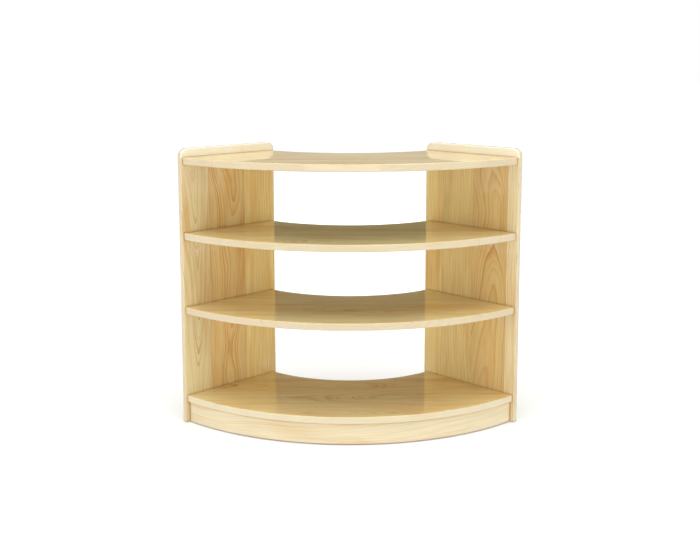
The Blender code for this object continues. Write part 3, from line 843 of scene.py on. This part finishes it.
# Each kind's marks by CAD node
cam_marks = {}
bolt_marks = {}
dowel_marks = {}
rail_dowel_marks = {}
glide_marks = {}
for side_name, side in SIDES.items():
    for shelf in SHELVES:
        low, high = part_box(shelf + "_shelf")
        middle = (low[2] + high[2]) / 2
        for end, along in CONNECTORS.items():
            tag = f"{shelf}_{side_name}_{end}"
            spot = on_panel(side, along, SHELF_END + CAM_DISTANCE, low[2] + CAM_RECESS)
            cam_marks["cam_" + tag] = (spot, inward(side))
            spot = on_panel(side, along, PANEL_THICKNESS, middle)
            bolt_marks["cam_bolt_" + tag] = (spot, inward(side))
        spot = on_panel(side, SHELF_DOWEL, PANEL_THICKNESS, middle)
        dowel_marks[f"dowel_{shelf}_{side_name}"] = (spot, inward(side))
    for rail, radii in PLINTHS.items():
        for level, z in RAIL_DOWELS.items():
            spot = on_panel(side, sum(radii) / 2, PANEL_THICKNESS, z)
            rail_dowel_marks[f"{rail}_dowel_{side_name}_{level}"] = (spot, inward(side))
    for end, along in GLIDES.items():
        spot = on_panel(side, along, PANEL_THICKNESS / 2, GLIDE_HEIGHT_MM * MM)
        glide_marks[f"glide_{side_name}_{end}"] = (spot, UP)

# The bores leave 0.3 mm free all round what goes in them
bolt_bore = [(-11.3, 0), (-11.3, 2.8), (0.15, 2.8), (0.15, 3.9), (27.35, 3.9), (27.35, 0)]
BORES = []
for bore_name, marks, profile in (
    ("bolt_bores", bolt_marks, bolt_bore),
    ("dowel_bores", dowel_marks, plain_round(-10.3, 20.3, 4.3)),
    ("rail_dowel_bores", rail_dowel_marks, plain_round(-10.3, 20.3, 3.3)),
    ("nail_bores", glide_marks, plain_round(-4, 14.3, 1.3)),
    ("cam_pockets", cam_marks, plain_round(-2, 13.2, 7.5)),
):
    cutter = turned(bore_name + "_cutter", profile, 48)
    if bore_name == "cam_pockets":
        stood_up(cutter)
    mesh = set_out(bore_name, cutter, marks.values())
    bpy.data.objects.remove(cutter)
    BORES.append(new_object(bore_name, mesh))


# Each board's staves as lacquered_pine takes them. A panel's run from back to front, from the
# ring's centre, and a shelf's from front to back, from the unit's middle.
# The panels' back staves are paler than the others, partly their own tone and partly painted
# light, making up for the less light that reaches the back of the unit.
PANEL_STAVES = {
    "left": (
        302,
        [
            (405.5, 150, 15, 20, "#fbe7a6"),
            (519.5, 447, -32, 80, "#efd599"),
            (605, 566, -80, 14, "#eddcac"),
        ],
    ),
    "right": (
        302,
        [
            (362, 160, 10, 20, "#fce8a8"),
            (463, 230, -20, 40, "#f3e0a5"),
            (572, 515, 36, 80, "#ebd195"),
            (605, 420, 10, 30, "#f1e2b5"),
        ],
    ),
}
SHELF_STAVES = {
    "top_shelf": (
        -200,
        [
            (-92, -230, 20, 30, "#ecdba5"),
            (2, -40, 50, 70, "#ead79d"),
            (98, 190, -20, 20, "#eddda7"),
            (200, 130, -40, 50, "#e9d59a"),
        ],
    ),
    "upper_shelf": (
        -200,
        [
            (-104, -150, 40, 60, "#ead89e"),
            (-6, -140, 10, 30, "#ecdba5"),
            (90, 40, -50, 60, "#e8d398"),
            (200, 260, 10, 30, "#ecdba3"),
        ],
    ),
    "lower_shelf": (
        -200,
        [
            (-98, -260, 10, 20, "#ebd9a1"),
            (6, -60, -40, 50, "#e9d398"),
            (104, 200, 10, 30, "#eddda8"),
            (200, 150, 60, 70, "#ead79e"),
        ],
    ),
    "bottom_shelf": (
        -200,
        [
            (-88, -150, 40, 44, "#e7d095"),
            (12, -45, -35, 60, "#e8d49b"),
            (110, 60, 40, 90, "#e6cd91"),
            (200, 300, 10, 20, "#ead7a0"),
        ],
    ),
}
RAIL_STAVES = {
    "front_plinth": (-30, [(30, 120, 60, 30, "#f2e5c4")]),
    "rear_plinth": (-30, [(30, -110, -50, 40, "#f1e3c0")]),
}
EDGES_PAINTED_PALER = {"bottom_shelf": "#eae2ca"}  # painted light: its front edge is painted paler, because less light reaches it so near the floor
SEEDS = iter((7, 20, 33, 46, 59, 72, 212, 309))

for shelf, (first_edge, staves) in SHELF_STAVES.items():
    low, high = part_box(shelf)
    place = flat_grain((0, 1, 0), (1, 0, 0), (0, 0, (low[2] + high[2]) / 2))
    finish = lacquered_pine(
        shelf,
        place,
        UP,
        next(SEEDS),
        first_edge,
        staves,
        contrast=0.85,
        edge_colour=EDGES_PAINTED_PALER.get(shelf, SANDED_AND_LIT_EDGE),
    )
    curved_board(
        shelf, SHELF_INNER_RADIUS, SHELF_OUTER_RADIUS, SHELF_EDGE_RADIUS, finish
    )

for rail, (first_edge, staves) in RAIL_STAVES.items():
    low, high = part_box(rail)
    inner, outer = PLINTHS[rail]
    place = bent_grain((inner + outer) / 2, (low[2] + high[2]) / 2)
    finish = lacquered_pine(
        rail,
        place,
        None,
        next(SEEDS),
        first_edge,
        staves,
        ring_mm=4.0,
        contrast=0.55,
        late_tint="#ead6a8",
        resin_tint="#f5e6c4",
        # painted shade: the rails' darker tint paints the shadow line under the bottom shelf's
        # overhang
        corner_shade_tint="#c09566",
    )
    curved_board(rail, inner, outer, PLINTH_EDGE_RADIUS, finish)

for side_name, (first_edge, staves) in PANEL_STAVES.items():
    side = SIDES[side_name]
    panel = "side_panel_" + side_name
    origin = RING_CENTRE + inward(side) * PANEL_THICKNESS / 2
    place = flat_grain(along_panel(side), UP, origin)
    finish = lacquered_pine(
        panel,
        place,
        inward(side),
        next(SEEDS),
        first_edge,
        staves,
        contrast=0.88,
        lip_mm=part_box("top_shelf")[1][2] / MM,
    )
    side_panel(panel, side, finish)


def cast_zinc():
    """Die-cast zinc alloy, tumbled and left bare: a soft grey shine with a faint grain."""
    made, tree = new_material("die_cast_zinc")
    here = node(tree, COORDINATES).outputs["Object"]
    # a casting's grain, about 0.8 mm
    grain = node(tree, NOISE, {"Vector": here, "Scale": 1 / (0.8 * MM), "Detail": 3.0})
    tone = [(0.3, linear("#a9abad")), (0.7, linear("#c3c5c6"))]
    dull = node(tree, MAP_RANGE, {"Value": grain, "To Min": 0.3, "To Max": 0.5})
    relief = {"Height": grain, "Strength": 0.4, "Distance": 0.04 * MM}
    inputs = {
        "Base Color": node(tree, RAMP, [grain], stops=tone),
        "Metallic": 1.0,
        "Roughness": dull,
        "Normal": node(tree, BUMP, relief),
    }
    shader = node(tree, PRINCIPLED, inputs)
    node(tree, MATERIAL_OUTPUT, {"Surface": shader})
    return made


def plated_steel():
    """Steel wire, headed and rolled, then zinc plated: bright, with a faint blue and straw
    bloom from the passivation."""
    made, tree = new_material("zinc_plated_steel")
    here = node(tree, COORDINATES).outputs["Object"]
    # the bloom drifts over a few millimetres
    bloom = node(tree, NOISE, {"Vector": here, "Scale": 1 / (4 * MM)})
    tone = [(0.35, linear("#c3cad3")), (0.5, linear("#cfd1d0")), (0.65, linear("#d6d0bf"))]
    # the plating's own unevenness, about 0.5 mm
    fine = node(tree, NOISE, {"Vector": here, "Scale": 1 / (0.5 * MM), "Detail": 2.0})
    dull = node(tree, MAP_RANGE, {"Value": fine, "To Min": 0.2, "To Max": 0.36})
    inputs = {
        "Base Color": node(tree, RAMP, [bloom], stops=tone),
        "Metallic": 1.0,
        "Roughness": dull,
    }
    shader = node(tree, PRINCIPLED, inputs)
    node(tree, MATERIAL_OUTPUT, {"Surface": shader})
    return made


def turned_beech():
    """Steamed beech, turned and pressed, unfinished: pinkish tan with short dark flecks."""
    made, tree = new_material("turned_beech")
    here = node(tree, COORDINATES).outputs["Object"]
    # the flecks are the wood's rays, about 0.6 mm across
    fleck = node(tree, NOISE, {"Vector": here, "Scale": 1 / (0.6 * MM), "Detail": 2.0})
    tone = [(0.35, linear("#b98f66")), (0.5, linear("#d3ad82")), (0.7, linear("#dcba92"))]
    relief = {"Height": fleck, "Strength": 0.3, "Distance": 0.05 * MM}
    inputs = {
        "Base Color": node(tree, RAMP, [fleck], stops=tone),
        "Roughness": 0.62,
        "IOR": 1.5,
        "Normal": node(tree, BUMP, relief),
    }
    shader = node(tree, PRINCIPLED, inputs)
    node(tree, MATERIAL_OUTPUT, {"Surface": shader})
    return made


def moulded_nylon():
    """White nylon from a mould, scuffed on the floor: milky, satin, greyer in the scratches."""
    made, tree = new_material("moulded_nylon")
    here = node(tree, COORDINATES).outputs["Object"]
    # scuffs from the floor, about 0.4 mm apart
    scuff = {"Vector": here, "Scale": 1 / (0.4 * MM), "Detail": 4.0, "Roughness": 0.7}
    scuff = node(tree, NOISE, scuff)
    tone = [(0.4, linear("#d9d7cd")), (0.55, linear("#efeee7"))]
    dull = node(tree, MAP_RANGE, {"Value": scuff, "To Min": 0.35, "To Max": 0.6})
    relief = {"Height": scuff, "Strength": 0.3, "Distance": 0.03 * MM}
    inputs = {
        "Base Color": node(tree, RAMP, [scuff], stops=tone),
        "Roughness": dull,
        "IOR": 1.53,
        "Normal": node(tree, BUMP, relief),
    }
    shader = node(tree, PRINCIPLED, inputs)
    node(tree, MATERIAL_OUTPUT, {"Surface": shader})
    return made


beech = turned_beech()
for kind, fitting, marks, material, slot in (
    ("cams", cam(), cam_marks, cast_zinc(), "zinc_cam"),
    ("cam_bolts", cam_bolt(), bolt_marks, plated_steel(), "steel_cam_bolt"),
    ("shelf_dowels", dowel(4.0), dowel_marks, beech, "beech_dowel"),
    ("rail_dowels", dowel(3.0), rail_dowel_marks, beech, "beech_dowel"),
    ("glides", glide(), glide_marks, moulded_nylon(), "nylon_glide"),
):
    mesh = set_out(kind, fitting, marks.values(), material)
    bpy.data.objects.remove(fitting)
    finished(kind, mesh, material, list(marks))
for cutter in BORES:
    bpy.data.objects.remove(cutter)


# Studio

MIDDLE = Vector((0, 0, 0.35))  # the unit's, which the lamps are aimed at
LIFT_DISTANCES = (0.45, 1.6)  # from the unit's middle
LIFTS = (0.18, 0.45)  # added to the light that the paper gives back there
FLOOR_HALF_WIDTH = 30.0
SOFTBOXES = {  # place, width and height, watts, and whether the gloss mirrors it
    "front_softbox": ((-0.3, -4.2, 0.85), (3.0, 1.5), 31, True),
    "left_strip": ((-3.1, -1.3, 0.45), (2.4, 0.3), 14, False),
    "right_strip": ((3.1, -1.3, 0.45), (2.4, 0.3), 14, False),
    "back_softbox": ((0, 3.6, 0.25), (3.0, 0.5), 12, False),
    "overhead_softbox": ((0, -0.6, 2.8), (2.4, 2.0), 36, True),
}
ROOM = [  # its colour by the sine of the elevation
    (0.0, grey(0.85)),
    (0.06, linear("#c8c0b5")),
    (0.11, linear("#b1a692")),
    (0.145, linear("#616f59")),
    (0.3, grey(0.12)),
    (0.5, grey(0.8)),
    (1.0, grey(1.1)),
]
ROOM_BEHIND = ROOM[:4] + [(0.3, grey(0.08)), (0.5, grey(0.35)), (1.0, grey(1.1))]


def floor():
    """A white paper floor. To the camera it is as white as the ground of a catalogue picture
    wherever it is lit, and the unit's soft shadow stays on it. The gloss mirrors it as pale as
    the backdrop's foot, so that no line shows where they meet."""
    bm = bmesh.new()
    bmesh.ops.create_grid(bm, x_segments=1, y_segments=1, size=FLOOR_HALF_WIDTH)
    mesh = bpy.data.meshes.new("floor")
    bm.to_mesh(mesh)
    bm.free()
    made = new_object("floor", mesh)
    paper, tree = new_material("white_paper")
    path = node(tree, "ShaderNodeLightPath").outputs
    mirrored = [path["Is Glossy Ray"], path["Is Transmission Ray"]]
    mirrored = node(tree, MATH, mirrored, operation="MAXIMUM")
    # the paper is lifted to white further out, and near the unit it keeps the soft shadow
    away = node(tree, COORDINATES).outputs["Object"]
    away = node(tree, VECTOR_MATH, [away], operation="LENGTH")
    near, far = LIFT_DISTANCES
    near_lift, far_lift = LIFTS
    lift = {"From Min": near, "From Max": far, "To Min": near_lift, "To Max": far_lift}
    lift = node(tree, MAP_RANGE, {"Value": away, **lift})
    lift = node(tree, MATH, [path["Is Camera Ray"], lift], operation="MULTIPLY")
    # a little cooler than white, because the pine tints the light that it throws on the paper
    glow = node(tree, "ShaderNodeEmission", {"Color": linear("#e7f4ff"), "Strength": lift})
    matt = node(tree, "ShaderNodeBsdfDiffuse", {"Color": linear("#f2f1ee")})
    lit = node(tree, "ShaderNodeAddShader", [matt, glow])
    backdrop_foot = ROOM[0][1]
    pale = node(tree, "ShaderNodeEmission", {"Color": backdrop_foot, "Strength": 1.0})
    shader = node(tree, "ShaderNodeMixShader", [mirrored, lit, pale])
    node(tree, MATERIAL_OUTPUT, {"Surface": shader})
    mesh.materials.append(paper)


def softbox(name, location, size, watts, mirrored):
    """A soft lamp. One that isn't mirrored lights the unit without showing in its gloss."""
    data = bpy.data.lights.new(name, "AREA")
    data.shape = "RECTANGLE"
    data.size, data.size_y = size
    data.energy = watts
    made = new_object(name, data)
    made.location = location
    aim = MIDDLE - Vector(location)
    made.rotation_euler = aim.to_track_quat("-Z", "Y").to_euler()
    made.visible_camera = False
    made.visible_glossy = mirrored


def studio_world():
    """White to the camera. The unit is lit by, and its gloss mirrors, a pale backdrop that turns
    warmer towards its top, a little above the unit, then a studio's dim green-grey walls and
    its pale ceiling, which is darker at the back."""
    world = bpy.data.worlds.new("studio")
    bpy.context.scene.world = world
    world.use_nodes = True
    tree = world.node_tree
    tree.nodes.clear()
    direction = node(tree, COORDINATES).outputs["Generated"]
    direction = node(tree, SPLIT_XYZ, [direction]).outputs
    rise, ahead = direction["Z"], direction["Y"]
    behind = node(tree, MAP_RANGE, {"Value": ahead, "From Min": -0.1, "From Max": 0.5})
    front = node(tree, RAMP, [rise], stops=ROOM)
    back = node(tree, RAMP, [rise], stops=ROOM_BEHIND)
    room = node(tree, MIX, {FACTOR: behind, FIRST: front, SECOND: back}, data_type="RGBA")
    path = node(tree, "ShaderNodeLightPath").outputs
    clear = [path["Is Camera Ray"], path["Is Transmission Ray"]]
    clear = node(tree, MATH, clear, operation="MAXIMUM")
    seen = node(tree, MIX, {FACTOR: clear, FIRST: room, SECOND: grey(1.0)}, data_type="RGBA")
    ground = node(tree, "ShaderNodeBackground", {"Color": seen, "Strength": 1.0})
    node(tree, "ShaderNodeOutputWorld", [ground])


def camera():
    """The photograph's place. A small shift down keeps the uprights nearly parallel."""
    picture_width_px = 700
    focal_length_px = 1042.0
    distance, height = 2.589, 0.927
    tilt = 8.11  # degrees down from level
    data = bpy.data.cameras.new("camera")
    data.sensor_width = 36.0
    data.lens = focal_length_px / picture_width_px * data.sensor_width
    data.shift_y = -0.10
    made = new_object("camera", data)
    made.location = (0, -distance, height)
    made.rotation_euler = (math.radians(90 - tilt), 0, 0)
    bpy.context.scene.camera = made


floor()
studio_world()
for name, (location, size, watts, mirrored) in SOFTBOXES.items():
    softbox(name, location, size, watts, mirrored)
camera()
bpy.context.scene.view_settings.view_transform = "Standard"
